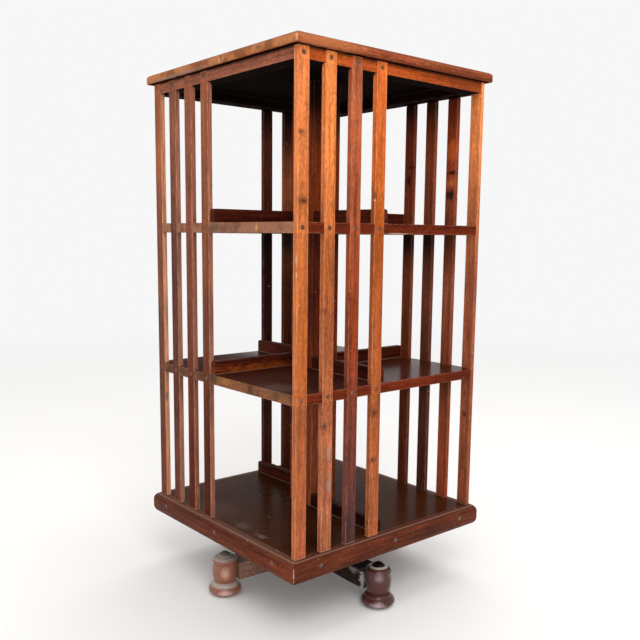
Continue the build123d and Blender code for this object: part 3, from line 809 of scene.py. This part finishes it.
# Flat-domed nail head on its shank, looking up from z = 0, then driven along every edging
nail = {
    "radius": 0.0042, "shank": 0.0032, "depth": 0.0023, "lip": 0.0001, "rise": 0.0005, "crown": 0.0004,
    "dome": 0.3, "sides": 14, "columns": (-0.192, 0.0, 0.192), "row": 0.1415, "face": 0.2545,
}
bpy.ops.object.select_all(action="DESELECT")
bpy.ops.mesh.primitive_cylinder_add(vertices=nail["sides"], radius=nail["shank"], depth=nail["depth"],
                                    location=(0, 0, -nail["depth"] / 2))
bpy.ops.object.transform_apply(location=True)
nailModel = bpy.context.object
bpy.ops.object.mode_set(mode="EDIT")
pick(nailModel, "faces", lambda face: face.normal.z > 0.9)
flare = nail["radius"] / nail["shank"]
bpy.ops.mesh.extrude_region_move(TRANSFORM_OT_translate={"value": (0, 0, nail["lip"])})
bpy.ops.transform.resize(value=(flare, flare, 1), center_override=(0, 0, 0))
bpy.ops.mesh.extrude_region_move(TRANSFORM_OT_translate={"value": (0, 0, nail["rise"])})
bpy.ops.mesh.inset(thickness=nail["radius"] * nail["dome"])
bpy.ops.transform.translate(value=(0, 0, nail["crown"]))
bpy.ops.object.mode_set(mode="OBJECT")
nailPlaces = []
for quarter in range(4):
    for column in nail["columns"]:
        seat = Matrix.Translation((column, -nail["face"], nail["row"])) @ lookOut
        nailPlaces.append(Matrix.Rotation(quarterTurn * quarter, 4, "Z") @ seat)
nailHeads = copyTo(nailModel, "edgingNailHeads", nailPlaces)
nailHeads.data.materials.append(makeHeadSteel("dulled_steel_nails", "4A3A36", "766A64", "5E4E48"))
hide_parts("edging_nails")
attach(nailHeads, "case")
print("nail heads set")

# Floor: matt paint, faintly cloudy. Clouds in mm, other sizes in m.
floor = {
    "radius": 14.0, "sides": 96, "level": -0.0005,
    "hex": "F0EEEB", "paleHex": "F5F4F2", "cloud": 600,
    "fade": (1.0, 4.5), "white": 0.93,
}
bpy.ops.object.select_all(action="DESELECT")
bpy.ops.mesh.primitive_circle_add(vertices=floor["sides"], radius=floor["radius"], fill_type="NGON",
                                  location=(0, 0, floor["level"]))
floorPlane = bpy.context.object
floorPlane.name = "floor"
floorMaterial, floorTree = newTree("painted_studio_floor")
floorCoord = addNode(floorTree, "TexCoord", out="Object")
cloudSettings = {"Vector": floorCoord, "Scale": 1000 / floor["cloud"], "Detail": 2.0}
floorCloud = addNode(floorTree, "TexNoise", cloudSettings)
floorTones = {6: hexColour(floor["hex"]), 7: hexColour(floor["paleHex"])}
floorColour = addNode(floorTree, "Mix", {0: floorCloud, **floorTones}, 2, data_type="RGBA")
floorShader = addNode(floorTree, "BsdfPrincipled", {"Base Color": floorColour, "Roughness": 0.85})
floorAway = addNode(floorTree, "VectorMath", {0: floorCoord}, "Value", operation="LENGTH")
# far off, the floor runs into the backdrop
floorFade = addNode(floorTree, "MapRange", {0: floorAway, 1: floor["fade"][0], 2: floor["fade"][1]})
floorGlow = addNode(floorTree, "Emission", {"Strength": floor["white"]})
floorShader = addNode(floorTree, "MixShader", {0: floorFade, 1: floorShader, 2: floorGlow})
addNode(floorTree, "OutputMaterial", {"Surface": floorShader}, out=None)
floorPlane.data.materials.append(floorMaterial)

# name, azimuth and elevation in degrees seen from the case, distance and size in m, power in W
lights = [
    ("keySoftbox", -32, 42, 4.2, 2.2, 70),
    ("frontSoftbox", -38, 10, 3.6, 0.6, 20),
    ("topSoftbox", 100, 75, 4.0, 3.0, 60),
]
aim = Vector((0, 0, 0.55))
for name, azimuth, elevation, distance, size, power in lights:
    a, e = math.radians(azimuth), math.radians(elevation)
    lamp = bpy.data.lights.new(name, "AREA")
    lamp.energy = power
    lamp.size = size
    holder = bpy.data.objects.new(name, lamp)
    bpy.context.scene.collection.objects.link(holder)
    outward = Vector((math.sin(a) * math.cos(e), -math.cos(a) * math.cos(e), math.sin(e)))
    holder.location = aim + distance * outward
    holder.rotation_euler = (aim - holder.location).to_track_quat("-Z", "Y").to_euler()

# the room: a white backdrop all round, dimmer overhead, from one height of the ray to another
room = {"hex": "FFFFFF", "white": 0.93, "overhead": 0.7, "turns": (0.28, 0.75)}
world = bpy.data.worlds.new("paleStudio")
world.use_nodes = True
world.node_tree.nodes.clear()
ray = addNode(world.node_tree, "TexCoord", out="Generated")
rise = addNode(world.node_tree, "SeparateXYZ", {0: ray}, "Z")
fromRise, toRise = room["turns"]
dimming = {0: rise, 1: fromRise, 2: toRise, 3: room["white"], 4: room["overhead"]}
dim = addNode(world.node_tree, "MapRange", dimming)
backdrop = addNode(world.node_tree, "Background", {"Color": hexColour(room["hex"]), "Strength": dim})
addNode(world.node_tree, "OutputWorld", {"Surface": backdrop}, out=None)
bpy.context.scene.world = world
bpy.context.scene.view_settings.view_transform = "Standard"

# the camera that the photograph's edges give: place in m, angles in degrees, focal length and centre in
# pixels of the image, the sensor in mm
camera = {
    "place": (-1.0647, -1.2743, 0.7282), "yaw": 40.0, "pitch": -7.962, "roll": 0.557,
    "focal": 783.07, "centre": (315.606, 345.962), "image": 640, "sensor": 36.0,
}
yaw, pitch, roll = (math.radians(camera[k]) for k in ("yaw", "pitch", "roll"))
ahead = Vector((math.sin(yaw) * math.cos(pitch), math.cos(yaw) * math.cos(pitch), math.sin(pitch)))
level = Vector((math.cos(yaw), -math.sin(yaw), 0))
upright = level.cross(ahead)
right = math.cos(roll) * level + math.sin(roll) * upright
up = math.cos(roll) * upright - math.sin(roll) * level
lens = bpy.data.cameras.new("photoLens")
lens.sensor_fit = "HORIZONTAL"
lens.sensor_width = camera["sensor"]
lens.lens = camera["focal"] / camera["image"] * lens.sensor_width
lens.shift_x = (camera["image"] / 2 - camera["centre"][0]) / camera["image"]
lens.shift_y = (camera["centre"][1] - camera["image"] / 2) / camera["image"]
viewer = bpy.data.objects.new("photoCamera", lens)
bpy.context.scene.collection.objects.link(viewer)
turn = Matrix((right, up, -ahead)).transposed().to_4x4()
viewer.matrix_world = Matrix.Translation(camera["place"]) @ turn
bpy.context.scene.camera = viewer
print("stage set")
